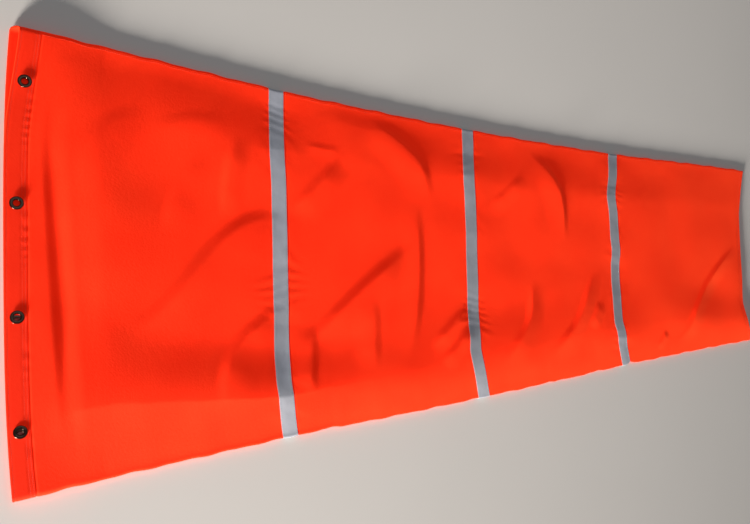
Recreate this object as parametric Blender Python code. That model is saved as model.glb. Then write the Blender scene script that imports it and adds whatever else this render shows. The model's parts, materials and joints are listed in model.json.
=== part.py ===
"""Airfield wind sleeve, lying flat with its mouth at -X and its tail at +X.

Four tapering cloth sections follow each other. A reflective band covers each of the three seams between
them. The mouth has a hem of doubled cloth with webbing inside it, and eight two-part eyelets go through the
hem for lacing the sleeve to a hoop. Metres, +Z up, origin under the middle of the sleeve, on the ground.
"""

import math

import bmesh
import bpy
import numpy as np
from mathutils import Matrix, Vector

# The sleeve, cut as four tapering tubes. Diameters are those of the open, round tube.
SECTION_LENGTHS = (0.445, 0.420, 0.420, 0.475)
MOUTH_DIAMETER = 0.457
FIRST_SEAM_DIAMETER = 0.402
SECOND_SEAM_DIAMETER = 0.363
THIRD_SEAM_DIAMETER = 0.328
TAIL_DIAMETER = 0.302

# Cloth, webbing and band
CLOTH_THICKNESS = 0.0008
WEBBING_THICKNESS = 0.0012
WEBBING_WIDTH = 0.025
WEBBING_SETBACK = 0.0012  # from the fold of the hem, inside
BAND_THICKNESS = 0.0005
BAND_WIDTH = 0.028
TAIL_HEM_DEPTH = 0.012
TOUCH_GAP = 0.0003  # between pieces that lie against each other
SEAM_GAP = 0.001  # between two sections, where the sleeve bends

# How it lies: the height of the flattened tube, outside to outside
HEM_HEIGHT = 0.017
BODY_HEIGHT = 0.022
TAIL_HEIGHT = 0.018
MOUTH_BOW = 0.010  # the corners of the mouth lie this much further along than its middle
LOWER_EDGE_CREEP = 0.044  # the -Y edge lies this much further along than the middle, at the tail
LOWER_EDGE_STRIP = 0.105  # the strip along that edge in which it does so
UPPER_EDGE_CREEP = 0.030
UPPER_EDGE_STRIP = 0.120
UPPER_LAYER_SLIP = 0.013  # at the +Y corner of the mouth, the upper layer lies back from the lower one
SLIP_WIDTH = 0.190
SLIP_LENGTH = 0.300

# Eyelets: a flanged barrel from outside, and a washer inside that its end is rolled over
EYELET_SETBACK = 0.0175  # from the mouth's edge to the hole's centre
EYELET_PLACES = (0.75, 0.24, -0.23, -0.70)  # shares of half the flat mouth, the same on both layers
EYELET_LOWER_LAYER_SHIFT = -0.0065  # the sleeve lies turned this far round between its two layers
EYELET_HOLE_RADIUS = 0.0048
EYELET_WALL = 0.0005
EYELET_FLANGE_RADIUS = 0.0098
EYELET_FLANGE_RISE = 0.0013
EYELET_INNER_ROUNDING = 0.0010  # the flange's top is flat between its two rounded edges
EYELET_OUTER_ROUNDING = 0.0016
EYELET_ROLL_WIDTH = 0.0012
EYELET_ROLL_DEPTH = 0.0008
WASHER_RADIUS = 0.0092
WASHER_THICKNESS = 0.0008

# How finely the round shapes are divided
LAYER_DIVISIONS = 14
FOLD_DIVISIONS = 10
STATION_SPACING = 0.11
EYELET_STEPS = 20

# What follows from the sizes above
SEAMS = tuple(np.cumsum((0.0, *SECTION_LENGTHS)))
SLEEVE_LENGTH = SEAMS[-1]
SEAM_DIAMETERS = (
    MOUTH_DIAMETER,
    FIRST_SEAM_DIAMETER,
    SECOND_SEAM_DIAMETER,
    THIRD_SEAM_DIAMETER,
    TAIL_DIAMETER,
)
FLAT_WIDTHS = tuple(math.pi * diameter / 2 for diameter in SEAM_DIAMETERS)
BAND_PROUD = TOUCH_GAP + BAND_THICKNESS
EYELET_PROUD = TOUCH_GAP + EYELET_FLANGE_RISE
HEM_POCKET = WEBBING_THICKNESS + 2 * TOUCH_GAP
HEM_DEPTH = WEBBING_WIDTH + 7 * CLOTH_THICKNESS
HEM_STACK = 2 * CLOTH_THICKNESS + HEM_POCKET
WEBBING_START = CLOTH_THICKNESS + WEBBING_SETBACK
WEBBING_END = WEBBING_START + WEBBING_WIDTH
HEIGHT_PLACES = (0.0, HEM_DEPTH, SEAMS[1], SEAMS[-2], SLEEVE_LENGTH)
HEIGHTS = (HEM_HEIGHT, HEM_HEIGHT, BODY_HEIGHT, BODY_HEIGHT, TAIL_HEIGHT)
LIFTS = (EYELET_PROUD, EYELET_PROUD, BAND_PROUD, BAND_PROUD, 0.0)


def flat_width(distance):
    """The width of the flattened tube, measured along the cloth."""
    return float(np.interp(distance, SEAMS, FLAT_WIDTHS))


def height(distance):
    """The height of the flattened tube, outside to outside."""
    return float(np.interp(distance, HEIGHT_PLACES, HEIGHTS))


def lift(distance):
    """How far the lower layer's outside lies above the ground."""
    return float(np.interp(distance, HEIGHT_PLACES, LIFTS))


def ease(share):
    """A smooth rise from 0 to 1, flat at both ends."""
    share = min(max(share, 0.0), 1.0)
    return share * share * (3 - 2 * share)


def half_run(distance):
    """Half the flat stretch between the two folds."""
    return (flat_width(distance) - math.pi * height(distance) / 2) / 2


def drift(distance, y, z):
    """How far a point of the laid sleeve is from where its distance alone would put it, towards the tail."""
    half_width = half_run(distance) + height(distance) / 2
    share = min(abs(y) / half_width, 1.0)
    moved = MOUTH_BOW * share**3 * max(1 - distance / SEAMS[1], 0.0)

    travelled = distance / SLEEVE_LENGTH
    lower = min(max(1 - (half_width + y) / LOWER_EDGE_STRIP, 0.0), 1.0)
    moved += LOWER_EDGE_CREEP * (1 - (1 - travelled) ** 2) * lower**1.3
    upper = min(max(1 - (half_width - y) / UPPER_EDGE_STRIP, 0.0), 1.0)
    moved += UPPER_EDGE_CREEP * travelled**3 * upper**1.3

    on_upper_layer = ease((z - lift(distance)) / height(distance))
    slip = ease(1 - (half_width - y) / SLIP_WIDTH) * ease(1 - distance / SLIP_LENGTH)
    return moved + UPPER_LAYER_SLIP * on_upper_layer * slip


TAIL_CORNER = SLEEVE_LENGTH + LOWER_EDGE_CREEP
MIDDLE = TAIL_CORNER / 2


def laid(distance, y, z):
    """The place of a point of the sleeve as it lies on the ground."""
    return Vector((distance + drift(distance, y, z) - MIDDLE, y, z))


def loop_points(distance, depth):
    """The points round the flattened tube at one distance, depth inside its outer surface."""
    run = half_run(distance)
    radius = height(distance) / 2
    middle = lift(distance) + radius
    turns = np.linspace(math.pi / 2, -math.pi / 2, LAYER_DIVISIONS + 1)
    folds = np.linspace(0, math.pi, FOLD_DIVISIONS + 1)[1:-1]
    # Each point of the outer surface as the middle of its bend, and the way out from there
    places = [(run * math.sin(turn), 0.0, 1.0) for turn in turns]
    places += [(-run, -math.sin(fold), math.cos(fold)) for fold in folds]
    places += [(-y, 0.0, -1.0) for y, _, _ in places[: len(turns)]]
    places += [(run, math.sin(fold), -math.cos(fold)) for fold in folds]
    points = []
    for y, side, up in places:
        surface = laid(distance, y + radius * side, middle + radius * up)
        points.append(surface - depth * Vector((0, side, up)))
    return points


def finish(name, colour, roughness, metallic):
    """A plain Principled material."""
    material = bpy.data.materials.new(name)
    material.use_nodes = True
    shader = material.node_tree.nodes["Principled BSDF"]
    shader.inputs["Base Color"].default_value = (*colour, 1)
    shader.inputs["Roughness"].default_value = roughness
    shader.inputs["Metallic"].default_value = metallic
    return material


def add_object(name, mesh_maker, material, smooth_angle=math.radians(40)):
    """A bmesh as a named object with its material, shaded smooth."""
    mesh = bpy.data.meshes.new(name)
    bmesh.ops.recalc_face_normals(mesh_maker, faces=mesh_maker.faces)
    mesh_maker.to_mesh(mesh)
    mesh_maker.free()
    mesh.materials.append(material)
    mesh.shade_smooth()
    mesh.set_sharp_from_angle(angle=smooth_angle)
    piece = bpy.data.objects.new(name, mesh)
    bpy.context.scene.collection.objects.link(piece)
    return piece


def ring(name, outline, material):
    """A closed ring round the sleeve. Its outline is the wall's section, as corners (distance, depth)."""
    maker = bmesh.new()
    loops = [[maker.verts.new(point) for point in loop_points(*corner)] for corner in outline]
    for here, there in zip(loops, loops[1:] + loops[:1]):
        for i in range(len(here)):
            j = (i + 1) % len(here)
            maker.faces.new((here[i], here[j], there[j], there[i]))
    return add_object(name, maker, material)


def stations(start, end):
    """Distances from start to end, close enough together for the curved edges, with every change of slope."""
    count = max(1, math.ceil((end - start) / STATION_SPACING))
    found = set(np.linspace(start, end, count + 1))
    found |= {place for place in (*SEAMS, *HEIGHT_PLACES, WEBBING_START, WEBBING_END) if start < place < end}
    kept = [start]
    for place in sorted(found):
        if place - kept[-1] > TOUCH_GAP:
            kept.append(place)
    return kept


def wall(start, end, outside, inside):
    """The outline of a plain wall between two distances."""
    out = [(distance, outside) for distance in stations(start, end)]
    back = [(distance, inside) for distance in reversed(stations(start, end))]
    return out + back


def hem_outline():
    """The mouth's hem: a strip of cloth folded double, with a pocket between its plies for the webbing."""
    outer = [(distance, 0.0) for distance in stations(0.0, HEM_DEPTH)]
    inner = [(distance, CLOTH_THICKNESS) for distance in reversed(stations(CLOTH_THICKNESS, HEM_DEPTH))]
    pocket_floor = HEM_STACK - CLOTH_THICKNESS
    turned = [(distance, pocket_floor) for distance in stations(CLOTH_THICKNESS, HEM_DEPTH)]
    turned += [(distance, HEM_STACK) for distance in reversed(stations(0.0, HEM_DEPTH))]
    return outer + inner + turned


def tail_outline():
    """The last section's outline: its wall, doubled for the narrow hem at the tail."""
    start = SEAMS[-2] + SEAM_GAP / 2
    hem_start = SLEEVE_LENGTH - TAIL_HEM_DEPTH
    outer = [(distance, 0.0) for distance in stations(start, SLEEVE_LENGTH)]
    hem = [
        (SLEEVE_LENGTH, 2 * CLOTH_THICKNESS),
        (hem_start, 2 * CLOTH_THICKNESS),
    ]
    inner = [(distance, CLOTH_THICKNESS) for distance in reversed(stations(start, hem_start))]
    return outer + hem + inner


def turned_piece(name, profile, place, outward, material):
    """A piece turned round an upright axis. The profile's corners are (radius, height above the cloth)."""
    maker = bmesh.new()
    corners = [maker.verts.new((radius, 0, rise)) for radius, rise in profile]
    edges = [maker.edges.new(pair) for pair in zip(corners, corners[1:] + corners[:1])]
    bmesh.ops.spin(
        maker,
        geom=corners + edges,
        cent=(0, 0, 0),
        axis=(0, 0, 1),
        angle=2 * math.pi,
        steps=EYELET_STEPS,
        use_merge=True,
    )
    bmesh.ops.remove_doubles(maker, verts=maker.verts, dist=1e-6)
    if outward < 0:
        bmesh.ops.rotate(maker, verts=maker.verts, cent=(0, 0, 0), matrix=Matrix.Rotation(math.pi, 3, "X"))
    piece = add_object(name, maker, material)
    piece.location = place
    return piece


def eyelet_profile():
    """A rounded flange on the cloth, a barrel through the hem, and the end rolled out over the washer."""
    hole, barrel = EYELET_HOLE_RADIUS, EYELET_HOLE_RADIUS + EYELET_WALL
    roll_top = -(HEM_STACK + 2 * TOUCH_GAP + WASHER_THICKNESS)
    return [
        (hole, TOUCH_GAP + EYELET_FLANGE_RISE / 2),
        (hole + EYELET_INNER_ROUNDING, EYELET_PROUD),
        (EYELET_FLANGE_RADIUS - EYELET_OUTER_ROUNDING, EYELET_PROUD),
        (EYELET_FLANGE_RADIUS, TOUCH_GAP + EYELET_FLANGE_RISE / 4),
        (EYELET_FLANGE_RADIUS, TOUCH_GAP),
        (barrel, TOUCH_GAP),
        (barrel, roll_top),
        (barrel + EYELET_ROLL_WIDTH, roll_top),
        (barrel + EYELET_ROLL_WIDTH / 2, roll_top - EYELET_ROLL_DEPTH),
        (hole, roll_top - EYELET_ROLL_DEPTH / 2),
    ]


def washer_profile():
    """A flat ring round the barrel, on the inner face of the hem."""
    bore = EYELET_HOLE_RADIUS + EYELET_WALL + TOUCH_GAP
    top = -(HEM_STACK + TOUCH_GAP)
    return [
        (bore, top),
        (bore, top - WASHER_THICKNESS),
        (WASHER_RADIUS, top - WASHER_THICKNESS),
        (WASHER_RADIUS, top),
    ]


def eyelet_places():
    """For each eyelet: its name's ending, its place on the outer surface, and which way is outward."""
    found = []
    half_mouth = flat_width(0.0) / 2
    upper_surface = lift(EYELET_SETBACK) + height(EYELET_SETBACK)
    for number, share in enumerate(EYELET_PLACES, start=1):
        y = share * half_mouth
        found.append((f"upper_{number}", laid(EYELET_SETBACK, y, upper_surface), 1))
        y += EYELET_LOWER_LAYER_SHIFT
        found.append((f"lower_{number}", laid(EYELET_SETBACK, y, lift(EYELET_SETBACK)), -1))
    return found


def punch_holes(pieces):
    """Cuts the eyelets' holes through the hem's plies, one layer of the sleeve at a time."""
    maker = bmesh.new()
    radius = EYELET_HOLE_RADIUS + EYELET_WALL + TOUCH_GAP
    reach = HEM_STACK + HEM_POCKET
    for _, place, outward in eyelet_places():
        middle = Matrix.Translation(place - Vector((0, 0, outward * HEM_STACK / 2)))
        bmesh.ops.create_cone(
            maker,
            cap_ends=True,
            segments=EYELET_STEPS,
            radius1=radius,
            radius2=radius,
            depth=reach,
            matrix=middle,
        )
    punch = add_object("hole_punch", maker, finish("punch", (0.5, 0.5, 0.5), 0.5, 0.0))
    punch.hide_render = True
    punch.display_type = "WIRE"
    for piece in pieces:
        cut = piece.modifiers.new("eyelet_holes", "BOOLEAN")
        cut.operation = "DIFFERENCE"
        cut.object = punch


def clear_scene():
    """Removes whatever the scene holds."""
    for piece in list(bpy.data.objects):
        bpy.data.objects.remove(piece, do_unlink=True)


def build_cloth():
    """The hem with its webbing, and the four sections that follow it."""
    cloth = finish("fluorescent_cloth", (1.0, 0.06, 0.01), 0.75, 0.0)
    hem = ring("mouth_hem", hem_outline(), cloth)
    webbing_depth = CLOTH_THICKNESS + TOUCH_GAP
    webbing = ring(
        "hem_webbing",
        wall(WEBBING_START, WEBBING_END, webbing_depth, webbing_depth + WEBBING_THICKNESS),
        finish("woven_webbing", (0.85, 0.12, 0.03), 0.85, 0.0),
    )
    punch_holes([hem, webbing])
    starts = (HEM_DEPTH + TOUCH_GAP, SEAMS[1] + SEAM_GAP / 2, SEAMS[2] + SEAM_GAP / 2)
    names = ("mouth_section", "second_section", "third_section")
    for name, start, seam in zip(names, starts, SEAMS[1:]):
        ring(name, wall(start, seam - SEAM_GAP / 2, 0.0, CLOTH_THICKNESS), cloth)
    ring("tail_section", tail_outline(), cloth)


def build_bands():
    """One reflective band on the end of each section but the last."""
    tape = finish("reflective_tape", (0.55, 0.56, 0.58), 0.35, 0.3)
    for number, seam in enumerate(SEAMS[1:-1], start=1):
        end = seam - SEAM_GAP / 2
        ring(f"reflective_band_{number}", wall(end - BAND_WIDTH, end, -BAND_PROUD, -TOUCH_GAP), tape)


def build_eyelets():
    """The eyelets and their washers."""
    metal = finish("dark_plated_metal", (0.10, 0.09, 0.08), 0.25, 1.0)
    for ending, place, outward in eyelet_places():
        turned_piece(f"eyelet_{ending}", eyelet_profile(), place, outward, metal)
        turned_piece(f"washer_{ending}", washer_profile(), place, outward, metal)


clear_scene()
build_cloth()
build_bands()
build_eyelets()
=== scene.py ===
"""A wind sleeve lying flat in a plain bright studio.

The frame gives the sleeve's pieces as plain solids. This script lays limp cloth over the same places: soft
folds, a stitched hem with webbing inside, sewn reflective bands and polished dark eyelets. Metres, +Z up.
"""

import json
import logging
import math
from collections.abc import Iterable, Sequence
from dataclasses import dataclass, field
from enum import Enum

import bmesh
import bpy
import numpy as np
from mathutils import Matrix, Vector


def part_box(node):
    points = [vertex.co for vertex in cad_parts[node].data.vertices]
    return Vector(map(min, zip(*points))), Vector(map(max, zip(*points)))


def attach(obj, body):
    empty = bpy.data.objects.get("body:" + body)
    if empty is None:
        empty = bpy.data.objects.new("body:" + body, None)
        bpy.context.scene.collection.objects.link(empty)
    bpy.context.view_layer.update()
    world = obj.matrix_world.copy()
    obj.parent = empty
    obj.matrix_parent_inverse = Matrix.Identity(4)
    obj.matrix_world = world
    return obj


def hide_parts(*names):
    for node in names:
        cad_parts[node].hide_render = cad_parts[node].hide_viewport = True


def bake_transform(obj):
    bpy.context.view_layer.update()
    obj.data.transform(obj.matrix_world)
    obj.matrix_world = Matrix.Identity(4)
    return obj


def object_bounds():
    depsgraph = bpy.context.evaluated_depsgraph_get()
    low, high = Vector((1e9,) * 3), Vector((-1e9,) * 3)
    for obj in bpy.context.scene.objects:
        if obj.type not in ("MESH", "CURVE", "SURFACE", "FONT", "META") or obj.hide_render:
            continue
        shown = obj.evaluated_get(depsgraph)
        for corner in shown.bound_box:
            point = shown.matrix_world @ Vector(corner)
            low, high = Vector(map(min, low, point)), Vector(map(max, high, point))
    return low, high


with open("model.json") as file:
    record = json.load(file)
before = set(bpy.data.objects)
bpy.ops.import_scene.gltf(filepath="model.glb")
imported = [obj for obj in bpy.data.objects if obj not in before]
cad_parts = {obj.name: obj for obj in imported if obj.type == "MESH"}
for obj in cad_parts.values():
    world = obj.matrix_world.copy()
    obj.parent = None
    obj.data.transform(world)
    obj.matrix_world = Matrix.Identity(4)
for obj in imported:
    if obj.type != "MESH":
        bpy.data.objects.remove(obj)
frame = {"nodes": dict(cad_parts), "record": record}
CAD_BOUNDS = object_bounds()

log = logging.getLogger("wind_sleeve")

Piece = bpy.types.Object
Material = bpy.types.Material
Tree = bpy.types.NodeTree
Socket = bpy.types.NodeSocket
Values = np.ndarray
Table = tuple[tuple[float, float], ...]
CLOTH_METRES = "cloth_metres"


# ---------------------------------------------------------------- small helpers


def ease(share: Values | float) -> Values:
    """A smooth rise from 0 to 1, flat at both ends."""
    share = np.clip(share, 0.0, 1.0)
    return share * share * (3 - 2 * share)


def bell(share: Values) -> Values:
    """A smooth bell: 1 in the middle, about a third at 1 to either side."""
    return np.exp(-share * share)


def read_table(table: Table, place: Values) -> Values:
    """Reads a table of (place, value) pairs, with straight lines between them."""
    places, values = zip(*table)
    return np.interp(place, places, values)


def linear_colour(hex_colour: str) -> tuple[float, float, float, float]:
    """Turns an sRGB hex colour into the linear values that a shader takes.

    Args:
        hex_colour: the colour as a hash and six hex digits.

    Returns:
        Red, green, blue and a full alpha.
    """
    channels = [int(hex_colour[place : place + 2], 16) / 255 for place in (1, 3, 5)]
    linear = [c / 12.92 if c <= 0.04045 else ((c + 0.055) / 1.055) ** 2.4 for c in channels]
    return (*linear, 1.0)


class NodeKind(Enum):
    """The shader nodes that the finishes are made of."""

    BUMP = "ShaderNodeBump"
    CELLS = "ShaderNodeTexVoronoi"
    HUE = "ShaderNodeHueSaturation"
    MATH = "ShaderNodeMath"
    MIX = "ShaderNodeMix"
    NOISE = "ShaderNodeTexNoise"
    OBJECT_PLACE = "ShaderNodeTexCoord"
    RANGE = "ShaderNodeMapRange"
    SPLIT = "ShaderNodeSeparateXYZ"
    CLOTH_PLACE = "ShaderNodeUVMap"


def fill_sockets(node: bpy.types.Node, inputs: dict) -> None:
    """Gives a node's sockets their values.

    Args:
        node: a shader node.
        inputs: its sockets by name or number, each a constant or another node's output.
    """
    for name, value in inputs.items():
        if isinstance(value, Socket):
            node.id_data.links.new(value, node.inputs[name])
        else:
            node.inputs[name].default_value = value


def add_node(
    tree: Tree, kind: NodeKind, inputs: dict | None = None, output: int | str = 0, **settings: str
) -> Socket:
    """Adds a shader node, with its settings and links.

    Args:
        tree: the material's node tree.
        kind: which node.
        inputs: its sockets by name or number, each a constant or another node's output.
        output: the output that is wanted from it.
        settings: its own properties.

    Returns:
        The wanted output.
    """
    made = tree.nodes.new(kind.value)
    for name, value in settings.items():
        setattr(made, name, value)
    fill_sockets(made, inputs or {})
    return made.outputs[output]


def new_material(name: str) -> tuple[Material, Tree, bpy.types.Node]:
    """Makes a node material.

    Args:
        name: the material's name.

    Returns:
        The material, its node tree and its Principled shader.
    """
    material = bpy.data.materials.new(name)
    material.use_nodes = True
    return material, material.node_tree, material.node_tree.nodes["Principled BSDF"]


def mesh_object(
    name: str,
    points: Values | Sequence,
    faces: Values | Sequence,
    material: Material,
    uvs: Values | None = None,
    sharp_degrees: float = 50.0,
) -> Piece:
    """Makes a smooth-shaded mesh object.

    Args:
        name: the object's name.
        points: its corners, in metres.
        faces: its quads as corner numbers.
        material: its only material.
        uvs: for each corner of each face, its place on the cloth in metres.
        sharp_degrees: edges that turn more than this stay sharp.

    Returns:
        The new object, linked to the scene.
    """
    mesh = bpy.data.meshes.new(name)
    mesh.from_pydata(np.asarray(points).tolist(), [], np.asarray(faces).tolist())
    if uvs is not None:
        layer = mesh.uv_layers.new(name=CLOTH_METRES)
        layer.data.foreach_set("uv", np.asarray(uvs, np.float32).ravel())
    mesh.materials.append(material)
    mesh.shade_smooth()
    mesh.set_sharp_from_angle(angle=math.radians(sharp_degrees))
    made = bpy.data.objects.new(name, mesh)
    bpy.context.scene.collection.objects.link(made)
    return made


def ring_faces(rows: int, columns: int) -> Values:
    """Quads between rows of points, where the rows and the columns both come back to their start.

    Args:
        rows: how many rows of points.
        columns: how many points in each.

    Returns:
        The quads as an array of corner numbers.
    """
    here = np.arange(rows * columns).reshape(rows, columns)
    there = np.roll(here, -1, axis=0)
    return np.stack([here, there, np.roll(there, -1, axis=1), np.roll(here, -1, axis=1)], -1).reshape(-1, 4)


# ---------------------------------------------------------------- finishes


class Slot(Enum):
    """The record's material slots."""

    CLOTH = "cloth"
    WEBBING = "webbing"
    REFLECTIVE = "reflective"
    METAL = "eyelet_metal"


@dataclass(frozen=True)
class FluorescentCloth:
    """Plain-woven polyester in a fluorescent red-orange: matt, vivid, a little uneven."""

    colour: str = "#FF320F"
    deep_colour: str = "#F42606"
    # Painted glow: an emission in the cloth's red that brightens it evenly, in light and shade alike
    painted_glow: float = 0.28
    painted_glow_colour: str = "#FF1E04"
    sheen_colour: str = "#FF8C48"
    name: str = "fluorescent_woven_polyester"
    # The real threads lie 0.4 mm apart, too fine to show, so the weave is drawn this coarse
    weave_pitch: float = 0.0022
    mottle_size: float = 0.004
    patch_size: float = 0.11
    speck_colour: str = "#3A0E06"
    speck_spacing: float = 0.30
    speck_radius: float = 0.0016

    def build(self) -> Material:
        """Makes the material: woven polyester, which gives a matt surface with a faint fuzz.

        Returns:
            The material.
        """
        material, tree, shader = new_material(self.name)
        place = add_node(tree, NodeKind.CLOTH_PLACE, uv_map=CLOTH_METRES)
        patches = add_node(tree, NodeKind.NOISE, {"Vector": place, "Scale": 1 / self.patch_size, "Detail": 3.0})
        mottle = add_node(tree, NodeKind.NOISE, {"Vector": place, "Scale": 1 / self.mottle_size, "Detail": 2.0})
        uneven = add_node(tree, NodeKind.MATH, {0: mottle, 1: 0.45, 2: patches}, operation="MULTIPLY_ADD")
        tone = add_node(tree, NodeKind.RANGE, {"Value": uneven, "From Min": 0.45, "From Max": 1.0})
        shades = {"Factor": tone, "A": linear_colour(self.deep_colour), "B": linear_colour(self.colour)}
        colour = add_node(tree, NodeKind.MIX, shades, "Result", data_type="RGBA")
        # Painted glow: a steady emission in the cloth's own red, the same in light and in shade. A real
        # fluorescent dye turns invisible light into its own colour and gives back more than it gets, but only
        # where light falls
        painted_glow = {"Emission Color": linear_colour(self.painted_glow_colour), "Emission Strength": self.painted_glow}
        # The gaps between the yarns swallow most of the mirror-like part of the light
        matt = {"Roughness": 0.82, "Specular IOR Level": 0.12}
        # The fuzz of the yarn catches light that grazes the cloth
        fuzz = {"Sheen Weight": 0.45, "Sheen Roughness": 0.5, "Sheen Tint": linear_colour(self.sheen_colour)}
        looks = {"Base Color": self.with_specks(tree, place, colour), "Normal": self.weave(tree, place, mottle)}
        fill_sockets(shader, looks | painted_glow | matt | fuzz)
        return material

    def with_specks(
        self, tree: Tree, place: Socket, colour: Socket
    ) -> Socket:
        """Adds a few dark specks of dirt, a hand's width or more apart.

        Args:
            tree: the material's node tree.
            place: the place on the cloth.
            colour: the clean cloth's colour.

        Returns:
            The socket with the specked colour.
        """
        spacing = {"Scale": 1 / self.speck_spacing, "Randomness": 1.0}
        cells = add_node(tree, NodeKind.CELLS, {"Vector": place, **spacing})
        size = self.speck_radius / self.speck_spacing
        edge = {"Value": cells, "From Min": size * 0.5, "From Max": size, "To Min": 0.75, "To Max": 0.0}
        speck = add_node(tree, NodeKind.RANGE, edge)
        dirt = {"Factor": speck, "A": colour, "B": linear_colour(self.speck_colour)}
        return add_node(tree, NodeKind.MIX, dirt, "Result", data_type="RGBA")

    def weave(
        self, tree: Tree, place: Socket, grain: Socket
    ) -> Socket:
        """Makes the relief of a plain weave, with the yarn's unevenness over it.

        Args:
            tree: the material's node tree.
            place: the place on the cloth.
            grain: the yarn's unevenness.

        Returns:
            The socket with the bumped normal.
        """
        waves = []
        turns = 2 * math.pi / self.weave_pitch
        for axis in ("X", "Y"):
            along = add_node(tree, NodeKind.SPLIT, {"Vector": place}, axis)
            turned = add_node(tree, NodeKind.MATH, {0: along, 1: turns}, operation="MULTIPLY")
            waves.append(add_node(tree, NodeKind.MATH, {0: turned}, operation="SINE"))
        checks = add_node(tree, NodeKind.MATH, dict(enumerate(waves)), operation="MULTIPLY")
        relief = add_node(tree, NodeKind.MATH, {0: grain, 1: 3.0, 2: checks}, operation="MULTIPLY_ADD")
        return add_node(tree, NodeKind.BUMP, {"Height": relief, "Strength": 0.35, "Distance": 0.00025})


@dataclass(frozen=True)
class ReflectiveTape:
    """Glass-bead reflective tape: silver-grey, finely grained, creased a little where it has been folded."""

    colour: str = "#C0C4CF"
    handled_colour: str = "#A7AAB4"
    bead_size: float = 0.0008
    crease_size: float = 0.018

    def build(self) -> Material:
        """Makes the material: glass beads on an aluminium film, which look grey and slightly metallic.

        Returns:
            The material.
        """
        material, tree, shader = new_material("glass_bead_reflective_tape")
        place = add_node(tree, NodeKind.CLOTH_PLACE, uv_map=CLOTH_METRES)
        beads = add_node(tree, NodeKind.NOISE, {"Vector": place, "Scale": 1 / self.bead_size, "Detail": 1.0})
        creases = {"Vector": place, "Scale": 1 / self.crease_size, "Detail": 4.0}
        handling = add_node(tree, NodeKind.NOISE, creases)
        shades = {"Factor": handling, "A": linear_colour(self.handled_colour), "B": linear_colour(self.colour)}
        colour = add_node(tree, NodeKind.MIX, shades, "Result", data_type="RGBA")
        relief = add_node(tree, NodeKind.MATH, {0: handling, 1: 2.0, 2: beads}, operation="MULTIPLY_ADD")
        bump = add_node(tree, NodeKind.BUMP, {"Height": relief, "Strength": 0.3, "Distance": 0.0003})
        fill_sockets(shader, {"Base Color": colour, "Normal": bump, "Metallic": 0.45, "Roughness": 0.42})
        return material


@dataclass(frozen=True)
class DarkPlating:
    """Brass eyelets plated almost black and polished: dark, with small sharp glints."""

    colour: str = "#4A3B32"
    roughness: float = 0.10
    wear_size: float = 0.003

    def build(self) -> Material:
        """Makes the material: black nickel plating, which mirrors the lights and little else.

        Returns:
            The material.
        """
        material, tree, shader = new_material("black_nickel_plating")
        place = add_node(tree, NodeKind.OBJECT_PLACE, output="Object")
        wear = add_node(tree, NodeKind.NOISE, {"Vector": place, "Scale": 1 / self.wear_size, "Detail": 2.0})
        limits = {"To Min": self.roughness * 0.7, "To Max": self.roughness * 1.8}
        rough = add_node(tree, NodeKind.RANGE, {"Value": wear, **limits})
        fill_sockets(shader, {"Base Color": linear_colour(self.colour), "Metallic": 1.0, "Roughness": rough})
        return material


@dataclass(frozen=True)
class RibbedWebbing:
    """Woven polyester webbing: thick ribs across it, duller than the cloth."""

    colour: str = "#D8401C"
    rib_pitch: float = 0.0016

    def build(self) -> Material:
        """Makes the material: webbing, whose ribs shade each other.

        Returns:
            The material.
        """
        material, tree, shader = new_material("polyester_webbing")
        place = add_node(tree, NodeKind.CLOTH_PLACE, uv_map=CLOTH_METRES)
        along = add_node(tree, NodeKind.SPLIT, {"Vector": place}, "X")
        turns = 2 * math.pi / self.rib_pitch
        turned = add_node(tree, NodeKind.MATH, {0: along, 1: turns}, operation="MULTIPLY")
        ribs = add_node(tree, NodeKind.MATH, {0: turned}, operation="SINE")
        bump = add_node(tree, NodeKind.BUMP, {"Height": ribs, "Strength": 0.6, "Distance": 0.0003})
        fill_sockets(shader, {"Base Color": linear_colour(self.colour), "Normal": bump, "Roughness": 0.85})
        return material


@dataclass(frozen=True)
class SewingThread:
    """Twisted polyester sewing thread: a soft sheen on each stitch."""

    name: str
    colour: str
    twist_size: float = 1 / 900

    def build(self) -> Material:
        """Makes the material: thread, smoother than the cloth it lies on.

        Returns:
            The material.
        """
        material, tree, shader = new_material(self.name)
        place = add_node(tree, NodeKind.OBJECT_PLACE, output="Object")
        twist = add_node(tree, NodeKind.NOISE, {"Vector": place, "Scale": 1 / self.twist_size})
        bright = add_node(tree, NodeKind.RANGE, {"Value": twist, "To Min": 0.6, "To Max": 1.3})
        shade = add_node(tree, NodeKind.HUE, {"Color": linear_colour(self.colour), "Value": bright})
        fill_sockets(shader, {"Base Color": shade, "Roughness": 0.55, "Sheen Weight": 0.2})
        return material


@dataclass(frozen=True)
class PaleFloor:
    """A matt pale studio floor."""

    colour: str = "#D2D0CC"
    light_colour: str = "#D6D4D0"

    def build(self) -> Material:
        """Makes the material: painted board, so faintly uneven that it reads as plain.

        Returns:
            The material.
        """
        material, tree, shader = new_material("matt_pale_board")
        place = add_node(tree, NodeKind.OBJECT_PLACE, output="Object")
        cloudy = add_node(tree, NodeKind.NOISE, {"Vector": place, "Scale": 3.0})
        shades = {"Factor": cloudy, "A": linear_colour(self.colour), "B": linear_colour(self.light_colour)}
        colour = add_node(tree, NodeKind.MIX, shades, "Result", data_type="RGBA")
        fill_sockets(shader, {"Base Color": colour, "Roughness": 0.9})
        return material


# ---------------------------------------------------------------- how the sleeve lies


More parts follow.
